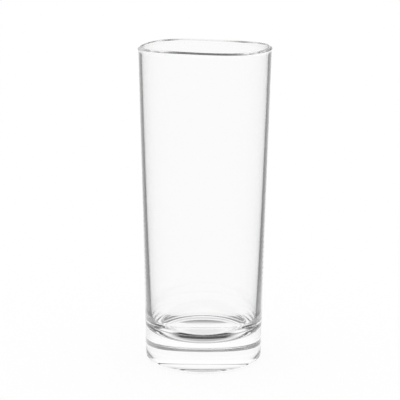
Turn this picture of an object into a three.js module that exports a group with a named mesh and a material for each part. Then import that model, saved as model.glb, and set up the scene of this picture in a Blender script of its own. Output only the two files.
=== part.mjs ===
// Tall tumbler: a straight-sided, slightly tapered drinking glass with a heavy solid base.
// The whole tumbler is one continuous piece of clear soda-lime glass, turned about its own axis.
// Lengths are millimetres, +Z is up, and the origin is the centre of the ring that it stands on.

import * as THREE from 'three';

// Overall form. The two side diameters are those of the straight outer side, carried on up to
// the lip and down to the table.
const height = 150;
const sideDiameterAtLip = 61.2;
const sideDiameterAtFoot = 54.9;

// Wall. It leaves the lip at an even thickness and swells towards the base, as the glass of a
// pressed and blown tumbler does, so its inner face is one long, barely curved sweep. The share
// is how far down the cavity the swell starts.
const wallAtLip = 1.5;
const wallAtFloor = 3;
const wallSwellShare = 0.57;

// Lip. Flame polishing melts the cut edge, which draws up into a round bead that stands a little
// proud of the side.
const lipThickness = 1.9;
const lipBlendHeight = 4.5;

// Base. The cavity ends in a bowl over thick solid glass: a wide round leads from the wall to a
// floor that sinks a little towards its middle. The base thickness is taken at the floor's edge.
const baseThickness = 13.1;
const floorDip = 0.3;
const floorCornerWidth = 8;
const floorCornerHeight = 10;
const floorCornerFullnessShare = 0.35;

// Foot. The outer side turns under through the heel onto a narrow ring that carries the glass.
// Inside that ring the underside is a shallow dome, so the middle never touches the table.
const heelWidth = 1.9;
const heelHeight = 1.3;
const heelFullnessShare = 0.53;
const restingRingWidth = 3.2;
const pushUpDepth = 1.7;

// Faceting of the curves
const facetsAround = 96;
const wallSteps = 9;
const floorCornerSteps = 12;
const floorSteps = 4;
const heelSteps = 6;
const pushUpSteps = 8;
const lipSteps = 12;
const lipBlendSteps = 5;

const clearGlass = new THREE.MeshStandardMaterial({
  color: 0xf2f7f6,
  roughness: 0.03,
  metalness: 0,
  transparent: true,
  opacity: 0.35,
});

// Every profile point is a radius (x) and a height above the table (y).
const at = (radius, level) => new THREE.Vector2(radius, level);

// Radius of the straight outer side at a level.
function sideRadius(level) {
  const share = level / height;
  return THREE.MathUtils.lerp(sideDiameterAtFoot, sideDiameterAtLip, share) / 2;
}

// The round that leaves `start` towards `corner` and arrives at `end` from it. It is a conic: a
// fullness of 0 cuts the corner off straight, 0.41 is near a circle, and towards 1 it stays sharp.
function roundedCorner(start, corner, end, fullnessShare, steps) {
  const pull = fullnessShare / (1 - fullnessShare);
  const points = [];
  for (let step = 0; step <= steps; step += 1) {
    const way = step / steps;
    const weights = [(1 - way) ** 2, 2 * way * (1 - way) * pull, way ** 2];
    const total = weights[0] + weights[1] + weights[2];
    const point = at(0, 0);
    [start, corner, end].forEach((pole, index) => {
      point.addScaledVector(pole, weights[index] / total);
    });
    points.push(point);
  }
  return points;
}

// A shallow dome about the axis, from its middle out to its edge. The level falls from the middle
// with the square of the radius, and the points crowd towards the edge, where it is steepest.
function domePoints(edgeRadius, edgeLevel, rise, steps) {
  const points = [];
  for (let step = 0; step <= steps; step += 1) {
    const out = Math.sin((Math.PI / 2) * (step / steps));
    points.push(at(edgeRadius * out, edgeLevel + rise * (1 - out ** 2)));
  }
  return points;
}

// Heel: the round that carries the resting ring up into the straight side.
function heelPoints() {
  return roundedCorner(
    at(sideRadius(0) - heelWidth, 0),
    at(sideRadius(0), 0),
    at(sideRadius(heelHeight), heelHeight),
    heelFullnessShare,
    heelSteps,
  );
}

// Lip: a soft swell from the side out to the bead, then the bead's half circle over to the inside.
function lipPoints() {
  const beadRadius = lipThickness / 2;
  const mouthRadius = sideRadius(height) - wallAtLip;
  const beadCentre = at(mouthRadius + beadRadius, height - beadRadius);
  const blendStart = beadCentre.y - lipBlendHeight;
  const blendMiddle = beadCentre.y - lipBlendHeight / 2;
  const swell = new THREE.CubicBezierCurve(
    at(sideRadius(blendStart), blendStart),
    at(sideRadius(blendMiddle), blendMiddle),
    at(beadCentre.x + beadRadius, blendMiddle),
    at(beadCentre.x + beadRadius, beadCentre.y),
  );
  const bead = [];
  for (let step = 1; step <= lipSteps; step += 1) {
    const angle = (Math.PI * step) / lipSteps;
    bead.push(at(beadCentre.x + beadRadius * Math.cos(angle), beadCentre.y + beadRadius * Math.sin(angle)));
  }
  return [...swell.getPoints(lipBlendSteps), ...bead];
}

// Cavity: the inner face from the bead down to the floor. The wall keeps its thickness down to
// where the swell starts, then leans in to the bowl, whose round is tangent to wall and floor.
function cavityPoints(mouth) {
  const floorEdgeRadius = sideRadius(baseThickness) - wallAtFloor - floorCornerWidth;
  const floor = domePoints(floorEdgeRadius, baseThickness, -floorDip, floorSteps).reverse();
  const floorSlope = (2 * floorDip) / floorEdgeRadius;
  const cornerLevel = baseThickness + floorSlope * floorCornerWidth;
  const corner = at(floorEdgeRadius + floorCornerWidth, cornerLevel);
  const swellLevel = THREE.MathUtils.lerp(mouth.y, baseThickness, wallSwellShare);
  const swellStart = at(sideRadius(swellLevel) - wallAtLip, swellLevel);
  const upTheWall = swellStart.clone().sub(corner).normalize();
  const wallEnd = corner.clone().addScaledVector(upTheWall, floorCornerHeight);
  const wall = new THREE.QuadraticBezierCurve(mouth, swellStart, wallEnd).getPoints(wallSteps);
  const bowl = roundedCorner(wallEnd, corner, floor[0], floorCornerFullnessShare, floorCornerSteps);
  return [...wall.slice(1, -1), ...bowl, ...floor.slice(1)];
}

// The half section, closed on the axis at both ends, from the middle of the underside round the
// outside and down the inside to the middle of the floor.
function tumblerProfile() {
  const heel = heelPoints();
  const lip = lipPoints();
  return [
    ...domePoints(heel[0].x - restingRingWidth, 0, pushUpDepth, pushUpSteps),
    ...heel,
    ...lip,
    ...cavityPoints(lip.at(-1)),
  ];
}

function makeTumblerBody() {
  const geometry = new THREE.LatheGeometry(tumblerProfile(), facetsAround);
  geometry.rotateX(Math.PI / 2);
  const body = new THREE.Mesh(geometry, clearGlass);
  body.name = 'tumbler_body';
  return body;
}

const tumbler = new THREE.Group();
tumbler.add(makeTumblerBody());

export default tumbler;
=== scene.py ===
import math

import bmesh
import bpy
from bpy.props import FloatProperty, FloatVectorProperty, IntProperty, PointerProperty
from mathutils import Matrix, Vector


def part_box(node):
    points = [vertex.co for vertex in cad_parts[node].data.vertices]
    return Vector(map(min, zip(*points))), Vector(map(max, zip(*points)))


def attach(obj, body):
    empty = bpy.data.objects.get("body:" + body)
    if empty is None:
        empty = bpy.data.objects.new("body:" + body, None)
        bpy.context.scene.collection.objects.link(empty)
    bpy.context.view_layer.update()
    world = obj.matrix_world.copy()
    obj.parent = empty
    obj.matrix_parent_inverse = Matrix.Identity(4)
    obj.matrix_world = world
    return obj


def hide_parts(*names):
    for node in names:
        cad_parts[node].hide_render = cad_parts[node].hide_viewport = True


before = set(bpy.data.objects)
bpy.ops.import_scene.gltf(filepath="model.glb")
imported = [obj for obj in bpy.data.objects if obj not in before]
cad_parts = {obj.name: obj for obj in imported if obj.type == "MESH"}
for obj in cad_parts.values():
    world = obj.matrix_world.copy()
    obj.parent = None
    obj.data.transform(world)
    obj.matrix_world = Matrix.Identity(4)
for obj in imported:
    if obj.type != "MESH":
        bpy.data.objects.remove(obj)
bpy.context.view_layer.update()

# A tall tumbler in clear glass, standing on a pale studio floor. The glass is one solid of
# revolution: its half section is worked out from the sizes below, and Geometry Nodes turn that
# section about the axis and put waves in the fire-polished lip. Lengths are metres, +Z is up, and
# the origin is the centre of the ring that the tumbler stands on.

bl_info = {
    "name": "Tall Tumbler",
    "version": (1, 0, 0),
    "blender": (4, 5, 0),
    "location": "View3D > Sidebar > Tumbler",
    "description": "Makes a tall, clear drinking tumbler and the studio that it is seen in",
    "category": "Add Mesh",
}

MM = 0.001

BODY_NODE = "tumbler_body"
BODY_NAME = "tumbler_glass"
BODY_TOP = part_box(BODY_NODE)[1].z

# Points along each stretch of the half section, close enough for glass to bend light smoothly. The
# resting ring has few, so that its smooth shading rolls over it from the dome to the heel, as on a
# pressed foot that the flame has softened.
UNDERSIDE_STEPS = 22
RING_STEPS = 2
HEEL_STEPS = 14
SIDE_STEPS = 26
LIP_BLEND_STEPS = 10
LIP_STEPS = 12
CAVITY_STEPS = 36
FLOOR_CORNER_STEPS = 20
FLOOR_STEPS = 18

# Facets of the glass, and long waves of its lip, round the axis
FACETS_AROUND = 352
LIP_LOBES = 3

# The fullness at which a conic is a parabola
PARABOLA = 0.5

# Points that lie closer than this are one point
WELD_DISTANCE = 0.001 * MM

# Refractive index of soda-lime glass, and how many times longer than wide its draw lines are
SODA_LIME_IOR = 1.52
DRAW_LINE_STRETCH = 25.0

# A thick wall guides light down itself, mirror by mirror, before it lets it out
MOST_BOUNCES = 200

# The floor is a round sheet, a hair below the glass, so that the two never share a face
FLOOR_SIDES = 128
FLOOR_LEVEL = -0.05 * MM

# The picture's frame and the camera that shows the glass in it
FRAME_PIXELS = 400
SENSOR_WIDTH_MM = 36.0
NEAREST_SEEN = 10 * MM

# Blender's name for the node that does one sum
MATHS = "ShaderNodeMath"


def srgb(hex_colour):
    """Turns a six-digit sRGB hex colour into the linear RGB that shaders take."""
    channels = [int(hex_colour[place:place + 2], 16) / 255 for place in (0, 2, 4)]
    return tuple(c / 12.92 if c <= 0.04045 else ((c + 0.055) / 1.055) ** 2.4 for c in channels)


def length(name, description, millimetres):
    """A length that the user can change, shown in the scene's own units."""
    return FloatProperty(
        name=name, description=description, default=millimetres * MM, precision=5,
        subtype="DISTANCE", unit="LENGTH")


def number(name, description, value):
    """A plain number that the user can change."""
    return FloatProperty(name=name, description=description, default=value, min=0.0)


def angle(name, description, degrees):
    """An angle that the user can change."""
    return FloatProperty(
        name=name, description=description, default=math.radians(degrees),
        subtype="ANGLE", unit="ROTATION")


def colour(name, description, hex_colour):
    """A colour that the user can change."""
    return FloatVectorProperty(
        name=name, description=description, default=srgb(hex_colour),
        min=0.0, max=1.0, size=3, subtype="COLOR")


class TumblerSizes(bpy.types.PropertyGroup):
    """The sizes of the glass."""

    height: length("Height", "From the table to the top of the lip", BODY_TOP / MM)
    lip_diameter: length("Diameter at Lip", "Outer side, carried on up to the lip", 61.5)
    foot_diameter: length("Diameter at Foot", "Outer side, carried on down to the table", 55.7)
    side_waist: length("Side Waist", "How far the middle of the side is drawn in", 0.17)
    wall_at_lip: length("Wall at Lip", "Thickness of the side wall under the lip", 1.5)
    wall_at_floor: length("Wall at Floor", "Thickness of the side wall at the floor", 3.0)
    wall_swell_share: number("Wall Swell", "How far down the wall starts to swell, as a share", 0.57)
    lip_thickness: length("Lip Thickness", "Thickness of the lip, over its slope and crest", 1.75)
    lip_blend_height: length("Lip Blend", "How far below the lip's slope the side swells out", 1.5)
    lip_slope_height: length("Lip Slope", "How far the lip's outer edge is below its crest", 0.9)
    lip_slope_fullness: number("Lip Slope Fullness", "From 0, straight, to 1, sharp", 0.08)
    lip_crest_inset: length("Lip Crest Inset", "From the crest to the lip's inner edge", 0.3)
    lip_inner_height: length("Lip Inner Edge", "How far the inner edge is below the crest", 0.4)
    lip_inner_fullness: number("Lip Inner Fullness", "From 0, straight, to 1, sharp", 0.41)
    base_thickness: length("Base Thickness", "From the table to the edge of the floor", 13.0)
    floor_dip: length("Floor Dip", "How far the middle of the floor is below its edge", 0.3)
    floor_corner_width: length("Floor Corner Width", "Reach of the round along the floor", 8.0)
    floor_corner_height: length("Floor Corner Height", "Reach of the round up the wall", 9.3)
    floor_corner_fullness: number("Floor Corner Fullness", "From 0, straight, to 1, sharp", 0.35)
    heel_width: length("Heel Width", "Reach of the round along the table", 1.9)
    heel_height: length("Heel Height", "Reach of the round up the side", 1.3)
    heel_fullness: number("Heel Fullness", "From 0, straight, to 1, sharp", 0.41)
    ring_width: length("Resting Ring Width", "Width of the ring that touches the table", 3.2)
    push_up_depth: length("Push-up Depth", "From the table to the middle of the underside", 1.7)
    lip_tilt: length("Lip Tilt", "How far the tilt lifts one side of the lip", 0.25)
    lip_tilt_turn: angle("Lip Tilt Turn", "Where round the axis the tilted lip is highest", 250.0)
    lip_lobe_height: length("Lip Lobe Height", "How far the lip's three long waves swing", 0.38)
    lip_lobe_turn: angle("Lip Lobe Turn", "Where round the axis the first wave is highest", 9.3)
    lip_ripple: length("Lip Ripple", "How far the lip's short waves swing", 0.1)
    lip_ripple_spacing: length("Lip Ripple Spacing", "Usual distance between short waves", 14.0)
    lip_ripple_seed: IntProperty(name="Lip Ripple Seed", description="Picks another lip", default=3)
    lip_wave_reach: length("Lip Wave Reach", "How far down the wall the lip's waves die away", 16.0)


class TumblerFinish(bpy.types.PropertyGroup):
    """The look of the glass."""

    glass_colour: colour("Glass Colour", "Tint that light takes at each surface", "ffffff")
    draw_line_depth: length("Draw Line Depth", "Depth of the faint upright lines", 0.003)
    draw_line_spacing: length("Draw Line Spacing", "Usual distance between two of them", 4.0)


class TumblerStudio(bpy.types.PropertyGroup):
    """The floor and the camera."""

    floor_colour: colour("Floor Colour", "Colour of the floor and of the background", "ffffff")
    floor_radius: length("Floor Radius", "Radius of the round floor", 1500.0)
    shadow_share: number("Shadow Share", "Share of the floor's light that the glass can shade", 0.1)
    camera_distance: length("Camera Distance", "From the axis of the glass, along the table", 600.0)
    camera_height: length("Camera Height", "Above the table", 222.1)
    camera_shift: length("Camera Side", "To the right of the axis", -2.0)
    camera_pitch: angle("Camera Pitch", "How far the camera looks down", 13.6)
    camera_roll: angle("Camera Roll", "Turn of the camera about its line of sight", 0.27)
    camera_focal_pixels: number("Focal Length", "In pixels of a frame 400 pixels wide", 1304.4)


def add_node(tree, kind, links=None, **settings):
    """Adds a node, sets its properties, and fills its inputs from values, from other nodes'
    sockets, or from other nodes, which stand for their first output."""
    node = tree.nodes.new(kind)
    for name, value in settings.items():
        setattr(node, name, value)
    for socket, value in (links or {}).items():
        if isinstance(value, bpy.types.Node):
            tree.links.new(value.outputs[0], node.inputs[socket])
        elif isinstance(value, bpy.types.NodeSocket):
            tree.links.new(value, node.inputs[socket])
        else:
            node.inputs[socket].default_value = value
    return node


def at(radius, level):
    """A point of the half section: how far from the axis, and how far above the table."""
    return Vector((radius, level))


def shares(steps):
    """Even shares from 0 to 1, both ends included."""
    return [step / steps for step in range(steps + 1)]


def eased(steps):
    """Shares from 0 to 1 that crowd towards both ends, so that a long stretch meets its rounds
    smoothly."""
    return [(1 - math.cos(math.pi * way)) / 2 for way in shares(steps)]


def conic(start, corner, end, fullness, ways):
    """The round that leaves start towards corner and arrives at end from it. A fullness of 0.41 is
    a circle's on a square corner, and a larger one fills the corner more."""
    pull = fullness / (1 - fullness)
    points = []
    for way in ways:
        first, middle, last = (1 - way) ** 2, 2 * way * (1 - way) * pull, way ** 2
        points.append((start * first + corner * middle + end * last) / (first + middle + last))
    return points


def cubic(start, first_pull, second_pull, end, ways):
    """The cubic Bezier curve that leaves start towards first_pull and arrives at end from
    second_pull."""
    points = []
    for way in ways:
        back = 1 - way
        points.append(
            start * back ** 3 + first_pull * (3 * back ** 2 * way)
            + second_pull * (3 * back * way ** 2) + end * way ** 3)
    return points


def dome(edge_radius, edge_level, rise, steps):
    """A shallow dome from the axis out to its edge, whose level follows the radius squared."""
    outs = [math.sin(way * math.pi / 2) for way in shares(steps)]
    return [at(edge_radius * out, edge_level + rise * (1 - out ** 2)) for out in outs]


def side_radius(sizes, level):
    """Radius of the outer side at a level: a taper whose middle is drawn in a little."""
    up = level / sizes.height
    waist = 4 * up * (1 - up) * sizes.side_waist
    return (sizes.foot_diameter * (1 - up) + sizes.lip_diameter * up) / 2 - waist


def on_side(sizes, level):
    """The point of the outer side at a level."""
    return at(side_radius(sizes, level), level)


def foot_section(sizes):
    """The underside, a shallow dome up from the resting ring, then the ring and the heel."""
    ring_outer = side_radius(sizes, 0) - sizes.heel_width
    ring_inner = ring_outer - sizes.ring_width
    underside = dome(ring_inner, 0, sizes.push_up_depth, UNDERSIDE_STEPS)
    ring = [at(ring_inner + sizes.ring_width * way, 0) for way in shares(RING_STEPS)]
    heel = conic(
        at(ring_outer, 0), on_side(sizes, 0), on_side(sizes, sizes.heel_height),
        sizes.heel_fullness, shares(HEEL_STEPS))
    return underside + ring + heel


def side_and_lip_section(sizes):
    """The side above the heel, then the lip: out in a soft S, up a slope to the crest, which stands
    near the inner edge, and over to the inside."""
    mouth_radius = side_radius(sizes, sizes.height) - sizes.wall_at_lip
    lip_outer = at(mouth_radius + sizes.lip_thickness, sizes.height - sizes.lip_slope_height)
    lip_crest = at(mouth_radius + sizes.lip_crest_inset, sizes.height)
    lip_inner = at(mouth_radius, sizes.height - sizes.lip_inner_height)
    blend_start = lip_outer.y - sizes.lip_blend_height
    blend_middle = lip_outer.y - sizes.lip_blend_height / 2
    heel_top = sizes.heel_height
    levels = [heel_top + (blend_start - heel_top) * way for way in eased(SIDE_STEPS)]
    side = [on_side(sizes, level) for level in levels]
    swell = cubic(
        on_side(sizes, blend_start), on_side(sizes, blend_middle),
        at(lip_outer.x, blend_middle), lip_outer, shares(LIP_BLEND_STEPS))
    slope = conic(
        lip_outer, at(lip_outer.x, sizes.height), lip_crest,
        sizes.lip_slope_fullness, shares(LIP_STEPS))
    inner_edge = conic(
        lip_crest, at(lip_inner.x, sizes.height), lip_inner,
        sizes.lip_inner_fullness, shares(LIP_STEPS))
    return side + swell + slope + inner_edge


def cavity_section(sizes, mouth):
    """The inside from the mouth down: one long sweep of the wall, the corner, and the gently curved
    floor."""
    wall_foot = side_radius(sizes, sizes.base_thickness) - sizes.wall_at_floor
    floor_edge = wall_foot - sizes.floor_corner_width
    # The corner is tangent to the floor, whose slope at its edge is twice its dip over its radius
    floor_slope = 2 * sizes.floor_dip / floor_edge
    corner_level = sizes.base_thickness + floor_slope * sizes.floor_corner_width
    corner = at(floor_edge + sizes.floor_corner_width, corner_level)
    swell_level = mouth.y + (sizes.base_thickness - mouth.y) * sizes.wall_swell_share
    swell_start = at(side_radius(sizes, swell_level) - sizes.wall_at_lip, swell_level)
    wall_end = corner + (swell_start - corner).normalized() * sizes.floor_corner_height
    wall = conic(mouth, swell_start, wall_end, PARABOLA, eased(CAVITY_STEPS))
    floor_corner = conic(
        wall_end, corner, at(floor_edge, sizes.base_thickness),
        sizes.floor_corner_fullness, shares(FLOOR_CORNER_STEPS))
    floor = dome(floor_edge, sizes.base_thickness, -sizes.floor_dip, FLOOR_STEPS)[::-1]
    return wall + floor_corner + floor


def half_section(sizes):
    """The outline on one side of the axis, from the middle of the underside, round the outside
    and down the inside to the middle of the floor."""
    outside = foot_section(sizes) + side_and_lip_section(sizes)
    points = outside + cavity_section(sizes, outside[-1])
    section = points[:1]
    for point in points[1:]:
        if (point - section[-1]).length > WELD_DISTANCE:
            section.append(point)
    return section


def section_object(section):
    """The half section as a string of points and edges in the XZ plane."""
    mesh = bpy.data.meshes.new("half_section")
    points = [(point.x, 0.0, point.y) for point in section]
    edges = [(step, step + 1) for step in range(len(points) - 1)]
    mesh.from_pydata(points, edges, [])
    section_holder = bpy.data.objects.new("half_section", mesh)
    bpy.context.scene.collection.objects.link(section_holder)
    return section_holder


REVOLVE_INPUTS = {
    "Section": "NodeSocketGeometry",
    "Facets Around": "NodeSocketInt",
    "Lip Level": "NodeSocketFloat",
    "Lip Radius": "NodeSocketFloat",
    "Tilt": "NodeSocketFloat",
    "Tilt Turn": "NodeSocketFloat",
    "Lobe Height": "NodeSocketFloat",
    "Lobe Turn": "NodeSocketFloat",
    "Ripple": "NodeSocketFloat",
    "Ripple Spacing": "NodeSocketFloat",
    "Ripple Seed": "NodeSocketInt",
    "Wave Reach": "NodeSocketFloat",
    "Weld Distance": "NodeSocketFloat",
    "Material": "NodeSocketMaterial",
}


def lip_wave(tree, given, turn, across, along):
    """Nodes for how far the lip stands off its level at a turn round the axis: a tilt, three long
    lobes, and a ripple of noise that is read on a circle, so it closes on itself."""
    tilt_turn = add_node(tree, MATHS, {0: turn, 1: given["Tilt Turn"]}, operation="SUBTRACT")
    tilt_share = add_node(tree, MATHS, {0: tilt_turn}, operation="COSINE")
    tilt = add_node(tree, MATHS, {0: tilt_share, 1: given["Tilt"]}, operation="MULTIPLY")

    first_lobe = add_node(tree, MATHS, {0: turn, 1: given["Lobe Turn"]}, operation="SUBTRACT")
    lobe_turn = add_node(tree, MATHS, {0: first_lobe, 1: LIP_LOBES}, operation="MULTIPLY")
    lobe_share = add_node(tree, MATHS, {0: lobe_turn}, operation="COSINE")
    lobe = add_node(tree, MATHS, {0: lobe_share, 1: given["Lobe Height"]}, operation="MULTIPLY")

    circle_radius = add_node(
        tree, MATHS, {0: given["Lip Radius"], 1: given["Ripple Spacing"]}, operation="DIVIDE")
    circle_x = add_node(tree, MATHS, {0: across, 1: circle_radius}, operation="MULTIPLY")
    circle_y = add_node(tree, MATHS, {0: along, 1: circle_radius}, operation="MULTIPLY")
    circle = add_node(tree, "ShaderNodeCombineXYZ", {"X": circle_x, "Y": circle_y})
    noise = add_node(
        tree, "ShaderNodeTexNoise",
        {"Vector": circle, "W": given["Ripple Seed"], "Scale": 1.0, "Detail": 1.0},
        noise_dimensions="4D")
    # The noise runs from 0 to 1, and the swing from -1 to 1
    centred = add_node(tree, MATHS, {0: noise, 1: 0.5}, operation="SUBTRACT")
    swing = add_node(tree, MATHS, {0: centred, 1: 2.0}, operation="MULTIPLY")
    ripple = add_node(tree, MATHS, {0: swing, 1: given["Ripple"]}, operation="MULTIPLY")

    long_waves = add_node(tree, MATHS, {0: tilt, 1: lobe}, operation="ADD")
    return add_node(tree, MATHS, {0: long_waves, 1: ripple}, operation="ADD")


def revolve_tree():
    """Geometry Nodes that turn a half section about the Z axis and wave its top up and down."""
    tree = bpy.data.node_groups.new("Revolve Glass", "GeometryNodeTree")
    for name, kind in REVOLVE_INPUTS.items():
        tree.interface.new_socket(name, in_out="INPUT", socket_type=kind)
    tree.interface.new_socket("Glass", in_out="OUTPUT", socket_type="NodeSocketGeometry")
    given = add_node(tree, "NodeGroupInput").outputs

    # A grid with one column of points for each facet round the axis, and one more to close it
    rows = add_node(tree, "GeometryNodeAttributeDomainSize", {"Geometry": given["Section"]})
    columns = add_node(tree, MATHS, {0: given["Facets Around"], 1: 1.0}, operation="ADD")
    grid = add_node(tree, "GeometryNodeMeshGrid", {"Vertices X": columns, "Vertices Y": rows})
    index = add_node(tree, "GeometryNodeInputIndex")
    columns_passed = add_node(tree, MATHS, {0: index, 1: rows}, operation="DIVIDE")
    column = add_node(tree, MATHS, {0: columns_passed}, operation="FLOOR")
    column_start = add_node(tree, MATHS, {0: column, 1: rows}, operation="MULTIPLY")
    row = add_node(tree, MATHS, {0: index, 1: column_start}, operation="SUBTRACT")

    # Each point's place in the half section, turned by its column's angle
    place = add_node(tree, "GeometryNodeInputPosition")
    sampled = add_node(
        tree, "GeometryNodeSampleIndex",
        {"Geometry": given["Section"], "Value": place, "Index": row}, data_type="FLOAT_VECTOR")
    section = add_node(tree, "ShaderNodeSeparateXYZ", {0: sampled}).outputs
    facet_turn = add_node(tree, MATHS, {0: math.tau, 1: given["Facets Around"]}, operation="DIVIDE")
    turn = add_node(tree, MATHS, {0: column, 1: facet_turn}, operation="MULTIPLY")
    across = add_node(tree, MATHS, {0: turn}, operation="COSINE")
    along = add_node(tree, MATHS, {0: turn}, operation="SINE")

    # The lip's waves, which die away down the wall
    wave_foot = add_node(
        tree, MATHS, {0: given["Lip Level"], 1: given["Wave Reach"]}, operation="SUBTRACT")
    fade = add_node(
        tree, "ShaderNodeMapRange",
        {"Value": section["Z"], "From Min": wave_foot, "From Max": given["Lip Level"]},
        interpolation_type="SMOOTHSTEP")
    whole_wave = lip_wave(tree, given, turn, across, along)
    wave = add_node(tree, MATHS, {0: whole_wave, 1: fade}, operation="MULTIPLY")

    x = add_node(tree, MATHS, {0: section["X"], 1: across}, operation="MULTIPLY")
    y = add_node(tree, MATHS, {0: section["X"], 1: along}, operation="MULTIPLY")
    z = add_node(tree, MATHS, {0: section["Z"], 1: wave}, operation="ADD")
    turned = add_node(tree, "ShaderNodeCombineXYZ", {"X": x, "Y": y, "Z": z})
    moved = add_node(tree, "GeometryNodeSetPosition", {"Geometry": grid, "Position": turned})
    closed = add_node(
        tree, "GeometryNodeMergeByDistance",
        {"Geometry": moved, "Distance": given["Weld Distance"]})
    smooth = add_node(tree, "GeometryNodeSetShadeSmooth", {"Geometry": closed})
    real = add_node(tree, "GeometryNodeRealizeInstances", {"Geometry": smooth})
    dressed = add_node(
        tree, "GeometryNodeSetMaterial", {"Geometry": real, "Material": given["Material"]})
    add_node(tree, "NodeGroupOutput", {"Glass": dressed})
    return tree


def applied(holder, tree, inputs, name):
    """Runs the tree on holder, and gives back the result as a plain mesh object called name."""
    modifier = holder.modifiers.new(tree.name, "NODES")
    modifier.node_group = tree
    sockets = {
        item.name: item.identifier for item in tree.interface.items_tree if item.in_out == "INPUT"
    }
    for socket, value in inputs.items():
        modifier[sockets[socket]] = value
    bpy.context.view_layer.update()
    evaluated = holder.evaluated_get(bpy.context.evaluated_depsgraph_get())
    mesh = bpy.data.meshes.new_from_object(evaluated)
    mesh.name = name
    holder.modifiers.remove(modifier)
    section_mesh = holder.data
    bpy.data.objects.remove(holder)
    bpy.data.meshes.remove(section_mesh)
    piece = bpy.data.objects.new(name, mesh)
    bpy.context.scene.collection.objects.link(piece)
    return piece


def soda_lime_glass(finish):
    """Fire-polished soda-lime glass: clear and glossy all over, because the flame melts the skin
    smooth. Faint upright draw lines are left from blowing the wall down its mould, and they show as
    soft streaks where the background is seen through the side."""
    material = bpy.data.materials.new("soda_lime_glass_fire_polished")
    material.use_nodes = True
    tree = material.node_tree
    tree.nodes.clear()
    coordinates = add_node(tree, "ShaderNodeTexCoord").outputs
    # The noise is stretched up the glass, so that its waves are upright lines
    stretched = add_node(
        tree, "ShaderNodeMapping",
        {"Vector": coordinates["Object"], "Scale": (1.0, 1.0, 1 / DRAW_LINE_STRETCH)})
    lines = add_node(
        tree, "ShaderNodeTexNoise",
        {
            "Vector": stretched,
            "Scale": 1 / finish.draw_line_spacing,
            "Detail": 2.0,
            "Roughness": 0.4,
        })
    relief = add_node(
        tree, "ShaderNodeBump",
        {"Height": lines, "Strength": 1.0, "Distance": finish.draw_line_depth})
    glass = add_node(
        tree, "ShaderNodeBsdfPrincipled",
        {
            "Base Color": (*finish.glass_colour, 1.0),
            "Roughness": 0.0,
            "IOR": SODA_LIME_IOR,
            "Transmission Weight": 1.0,
            "Normal": relief,
        })
    add_node(tree, "ShaderNodeOutputMaterial", {"Surface": glass})
    return material


class TUMBLER_OT_make_glass(bpy.types.Operator):
    """Makes the one-piece glass of the tumbler, with its wavy lip"""

    bl_idname = "tumbler.make_glass"
    bl_label = "Make Glass"

    def execute(self, context):
        sizes = context.scene.tumbler_sizes
        inputs = {
            "Facets Around": FACETS_AROUND,
            "Lip Level": sizes.height,
            "Lip Radius": sizes.lip_diameter / 2,
            "Tilt": sizes.lip_tilt,
            "Tilt Turn": sizes.lip_tilt_turn,
            "Lobe Height": sizes.lip_lobe_height,
            "Lobe Turn": sizes.lip_lobe_turn,
            "Ripple": sizes.lip_ripple,
            "Ripple Spacing": sizes.lip_ripple_spacing,
            "Ripple Seed": sizes.lip_ripple_seed,
            "Wave Reach": sizes.lip_wave_reach,
            "Weld Distance": WELD_DISTANCE,
            "Material": soda_lime_glass(context.scene.tumbler_finish),
        }
        glass = applied(section_object(half_section(sizes)), revolve_tree(), inputs, BODY_NAME)
        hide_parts(BODY_NODE)
        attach(glass, "root")
        return {"FINISHED"}


# Light Path counts the mirrors and the skins of glass that light has met on its way to the eye.
# Counts are compared half a count away from the whole number.
SKINS_OF_A_WALL = 2
FEW_MIRRORS = 4
MANY_MIRRORS = 9
HALF = 0.5

# Painted shade: brightness that the floor gives off near the foot, by millimetres from the axis, as
# seen through the glass. The pocket under the push-up is painted a little dim, and the ring that
# touches has a painted dark line each side. Beyond its reach the floor is clear.
FOOT_SHADE = (
    (8.0, 0.83), (12.0, 0.96), (17.5, 0.96), (19.5, 0.5),
    (21.5, 1.0), (23.5, 1.0), (25.5, 0.5), (27.5, 1.0))
FOOT_SHADE_REACH_MM = 60.0

# In the mirrors inside the glass, a painted glow stands in for the dim light on the pocket's floor
POCKET_RADIUS_MM = 21.5
POCKET_PAINTED_GLOW = 0.75
POCKET_SHARE = 0.6

# The surroundings, as brightness by degrees above the horizon. Light that the glass only bends
# finds them white, but past both sides of the hollow the lip also shows the dark under itself.
WHITE = 1.0
STRAIGHT_UP = 90.0
BENT_THROUGH_BOTH_SIDES = ((-36.0, 0.03), (-33.0, 1.0))

# Light that was mirrored in one wall or in the base comes past dark cards that stand low down all
# round, which draw the glass's edges, and past a hole under it
MIRRORED_ONCE = (
    (-63.0, 0.05), (-50.0, 0.8), (-42.0, 1.0), (-35.0, 1.0),
    (-31.0, 0.15), (-20.0, 0.05), (-4.0, 0.1), (3.0, 1.0))
MIRRORED_MORE = (
    (-60.0, 0.7), (-58.0, 0.0), (-44.0, 0.0), (-42.0, 0.7), (-38.0, 1.0),
    (-25.0, 1.0), (-22.0, 0.35), (-16.0, 0.1), (24.0, 0.1), (28.0, 0.65))

# The outside of the glass and the far side of its hollow mirror the ceiling, which is dim round one
# light overhead
CEILING = ((28.0, 1.0), (36.0, 0.2), (66.0, 0.2), (74.0, 0.8))

# Light that the glass guides, mirror by mirror. Past a few mirrors it comes from the dim room round
# the base. Past many, the wall has carried it all the way between the lip and the base.
PAST_FEW_MIRRORS = 0.3
PAST_MANY_MIRRORS = (
    (-54.0, 0.95), (-50.0, 0.0), (-36.0, 0.0), (-32.0, 0.95), (10.0, 0.95), (20.0, 0.1))


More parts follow.
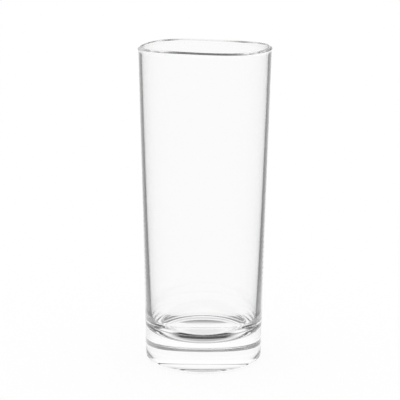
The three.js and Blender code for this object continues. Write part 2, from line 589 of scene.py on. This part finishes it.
def stepped(tree, value, low, high, stops):
    """Turns a value between low and high into the brightness that the stops give along the way."""
    way = add_node(tree, "ShaderNodeMapRange", {"Value": value, "From Min": low, "From Max": high})
    ramp = add_node(tree, "ShaderNodeValToRGB", {"Fac": way})
    elements = ramp.color_ramp.elements
    while len(elements) < len(stops):
        elements.new(1.0)
    for element, (place, brightness) in zip(elements, stops):
        element.position = (place - low) / (high - low)
        element.color = (brightness, brightness, brightness, 1.0)
    return ramp


def matt_white_floor(studio):
    """Matt white board. The camera sees it as white as the background, but for a faint shadow.
    Light that the glass only bends finds a painted shade of the foot on it, given off as light.
    Farther out, and for light that was mirrored in the glass, it is clear, but for a painted glow
    over a part of the pocket under the push-up."""
    material = bpy.data.materials.new("studio_floor_matt_white")
    material.use_nodes = True
    tree = material.node_tree
    tree.nodes.clear()
    path = add_node(tree, "ShaderNodeLightPath").outputs
    place = add_node(tree, "ShaderNodeTexCoord").outputs["Object"]
    radius = add_node(tree, "ShaderNodeVectorMath", {0: place}, operation="LENGTH").outputs["Value"]

    # To the camera
    white = add_node(tree, "ShaderNodeEmission", {"Color": (*studio.floor_colour, 1.0)})
    matt = add_node(tree, "ShaderNodeBsdfDiffuse", {"Color": (*studio.floor_colour, 1.0)})
    seen = add_node(tree, "ShaderNodeMixShader", {0: studio.shadow_share, 1: white, 2: matt})

    # Near the foot, to light that the glass only bends, the floor glows with the painted shade of
    # the foot
    shade_reach = FOOT_SHADE_REACH_MM * MM
    painted_foot_shade_stops = [(distance * MM, brightness) for distance, brightness in FOOT_SHADE]
    shade = stepped(tree, radius, 0.0, shade_reach, painted_foot_shade_stops)
    painted_foot_shade_glow = add_node(tree, "ShaderNodeEmission", {"Color": shade})

    # To light that was mirrored in the glass, and far from the foot
    clear = add_node(tree, "ShaderNodeBsdfTransparent")
    # A painted glow, dimmer than the white surroundings, over a part of the pocket under the push-up
    painted_pocket_glow = add_node(tree, "ShaderNodeEmission", {"Strength": POCKET_PAINTED_GLOW})
    pocket_edge = POCKET_RADIUS_MM * MM
    pocket = add_node(tree, MATHS, {0: radius, 1: pocket_edge}, operation="LESS_THAN")
    cover = add_node(tree, MATHS, {0: pocket, 1: POCKET_SHARE}, operation="MULTIPLY")
    part_clear = add_node(tree, "ShaderNodeMixShader", {0: cover, 1: clear, 2: painted_pocket_glow})

    mirrors = path["Glossy Depth"]
    mirrored = add_node(tree, MATHS, {0: mirrors, 1: HALF}, operation="GREATER_THAN")
    far = add_node(tree, MATHS, {0: radius, 1: shade_reach}, operation="GREATER_THAN")
    either = add_node(tree, MATHS, {0: mirrored, 1: far}, operation="MAXIMUM")
    by_glass = add_node(tree, "ShaderNodeMixShader", {0: either, 1: painted_foot_shade_glow, 2: part_clear})
    by_camera = path["Is Camera Ray"]
    surface = add_node(tree, "ShaderNodeMixShader", {0: by_camera, 1: by_glass, 2: seen})
    add_node(tree, "ShaderNodeOutputMaterial", {"Surface": surface})
    return material


def make_floor(studio):
    """The round, pale floor."""
    mesh = bpy.data.meshes.new("studio_floor")
    disc = bmesh.new()
    bmesh.ops.create_circle(disc, cap_ends=True, segments=FLOOR_SIDES, radius=studio.floor_radius)
    bmesh.ops.translate(disc, verts=disc.verts, vec=(0.0, 0.0, FLOOR_LEVEL))
    disc.to_mesh(mesh)
    disc.free()
    mesh.materials.append(matt_white_floor(studio))
    floor = bpy.data.objects.new("studio_floor", mesh)
    bpy.context.scene.collection.objects.link(floor)


def make_surroundings(scene):
    """White all round, with the dim ceiling and the dark cards that only the glass shows."""
    world = bpy.data.worlds.new("studio_surroundings")
    world.use_nodes = True
    scene.world = world
    tree = world.node_tree
    tree.nodes.clear()

    direction = add_node(tree, "ShaderNodeTexCoord").outputs["Generated"]
    up = add_node(tree, "ShaderNodeSeparateXYZ", {0: direction}).outputs["Z"]
    slope = add_node(tree, MATHS, {0: up}, operation="ARCSINE")
    elevation = add_node(tree, MATHS, {0: slope}, operation="DEGREES")
    tables = (
        CEILING, BENT_THROUGH_BOTH_SIDES, MIRRORED_ONCE, MIRRORED_MORE, PAST_MANY_MIRRORS)
    ceiling, bent, mirrored_once, mirrored_more, guided = [
        stepped(tree, elevation, -STRAIGHT_UP, STRAIGHT_UP, stops) for stops in tables]

    path = add_node(tree, "ShaderNodeLightPath").outputs
    mirrors, skins = path["Glossy Depth"], path["Transmission Depth"]
    no_mirror = add_node(tree, MATHS, {0: mirrors, 1: HALF}, operation="LESS_THAN")
    one_mirror = add_node(tree, MATHS, {0: mirrors, 1: 1.0, 2: HALF}, operation="COMPARE")
    twice_or_more = add_node(tree, MATHS, {0: mirrors, 1: 1 + HALF}, operation="GREATER_THAN")
    past_few = add_node(
        tree, MATHS, {0: mirrors, 1: FEW_MIRRORS + HALF}, operation="GREATER_THAN")
    past_many = add_node(
        tree, MATHS, {0: mirrors, 1: MANY_MIRRORS + HALF}, operation="GREATER_THAN")
    outside = add_node(tree, MATHS, {0: skins, 1: HALF}, operation="LESS_THAN")
    past_one_wall = add_node(
        tree, MATHS, {0: skins, 1: SKINS_OF_A_WALL + HALF}, operation="GREATER_THAN")

    # What each kind of light finds, first where it has passed one wall or the base alone, then
    # where it has passed both sides of the hollow. A later row overrules the rows before it.
    kinds = (
        (twice_or_more, mirrored_more, WHITE),
        (past_few, PAST_FEW_MIRRORS, PAST_FEW_MIRRORS),
        (past_many, guided, guided),
        (one_mirror, mirrored_once, ceiling),
        (outside, ceiling, ceiling),
        (no_mirror, WHITE, bent),
    )
    level = WHITE
    for kind, one_side, both_sides in kinds:
        found = add_node(
            tree, "ShaderNodeMix", {0: past_one_wall, 2: one_side, 3: both_sides},
            data_type="FLOAT")
        level = add_node(tree, "ShaderNodeMix", {0: kind, 2: level, 3: found}, data_type="FLOAT")
    light = add_node(
        tree, "ShaderNodeBackground", {"Color": (WHITE, WHITE, WHITE, 1.0), "Strength": level})
    add_node(tree, "ShaderNodeOutputWorld", {"Surface": light})


def make_camera(scene, studio):
    """The photograph's view: a little above the glass, looking down at it."""
    lens = bpy.data.cameras.new("studio_camera")
    lens.sensor_width = SENSOR_WIDTH_MM
    lens.lens = studio.camera_focal_pixels * SENSOR_WIDTH_MM / FRAME_PIXELS
    lens.clip_start = NEAREST_SEEN
    camera = bpy.data.objects.new("studio_camera", lens)
    scene.collection.objects.link(camera)
    place = Matrix.Translation((studio.camera_shift, -studio.camera_distance, studio.camera_height))
    tilt = Matrix.Rotation(math.radians(90) - studio.camera_pitch, 4, "X")
    camera.matrix_world = place @ tilt @ Matrix.Rotation(studio.camera_roll, 4, "Z")
    scene.camera = camera


class TUMBLER_OT_make_studio(bpy.types.Operator):
    """Makes the pale floor, the soft light all round and the camera"""

    bl_idname = "tumbler.make_studio"
    bl_label = "Make Studio"

    def execute(self, context):
        studio = context.scene.tumbler_studio
        make_floor(studio)
        make_surroundings(context.scene)
        make_camera(context.scene, studio)
        context.scene.view_settings.view_transform = "Standard"
        context.scene.cycles.max_bounces = MOST_BOUNCES
        context.scene.cycles.glossy_bounces = MOST_BOUNCES
        context.scene.cycles.transmission_bounces = MOST_BOUNCES
        return {"FINISHED"}


class TUMBLER_PT_maker(bpy.types.Panel):
    """Lists the sizes and colours, and makes the tumbler and its studio"""

    bl_label = "Tall Tumbler"
    bl_space_type = "VIEW_3D"
    bl_region_type = "UI"
    bl_category = "Tumbler"

    def draw(self, context):
        groups = (
            (context.scene.tumbler_sizes, TumblerSizes),
            (context.scene.tumbler_finish, TumblerFinish),
            (context.scene.tumbler_studio, TumblerStudio),
        )
        for values, group in groups:
            column = self.layout.column(align=True)
            for name in group.__annotations__:
                column.prop(values, name)
        self.layout.operator(TUMBLER_OT_make_glass.bl_idname)
        self.layout.operator(TUMBLER_OT_make_studio.bl_idname)


CLASSES = (
    TumblerSizes,
    TumblerFinish,
    TumblerStudio,
    TUMBLER_OT_make_glass,
    TUMBLER_OT_make_studio,
    TUMBLER_PT_maker,
)


def register():
    for made in CLASSES:
        bpy.utils.register_class(made)
    bpy.types.Scene.tumbler_sizes = PointerProperty(type=TumblerSizes)
    bpy.types.Scene.tumbler_finish = PointerProperty(type=TumblerFinish)
    bpy.types.Scene.tumbler_studio = PointerProperty(type=TumblerStudio)


def unregister():
    del bpy.types.Scene.tumbler_studio
    del bpy.types.Scene.tumbler_finish
    del bpy.types.Scene.tumbler_sizes
    for made in reversed(CLASSES):
        bpy.utils.unregister_class(made)


def main():
    register()
    bpy.ops.tumbler.make_glass()
    bpy.ops.tumbler.make_studio()


if __name__ == "__main__":
    main()
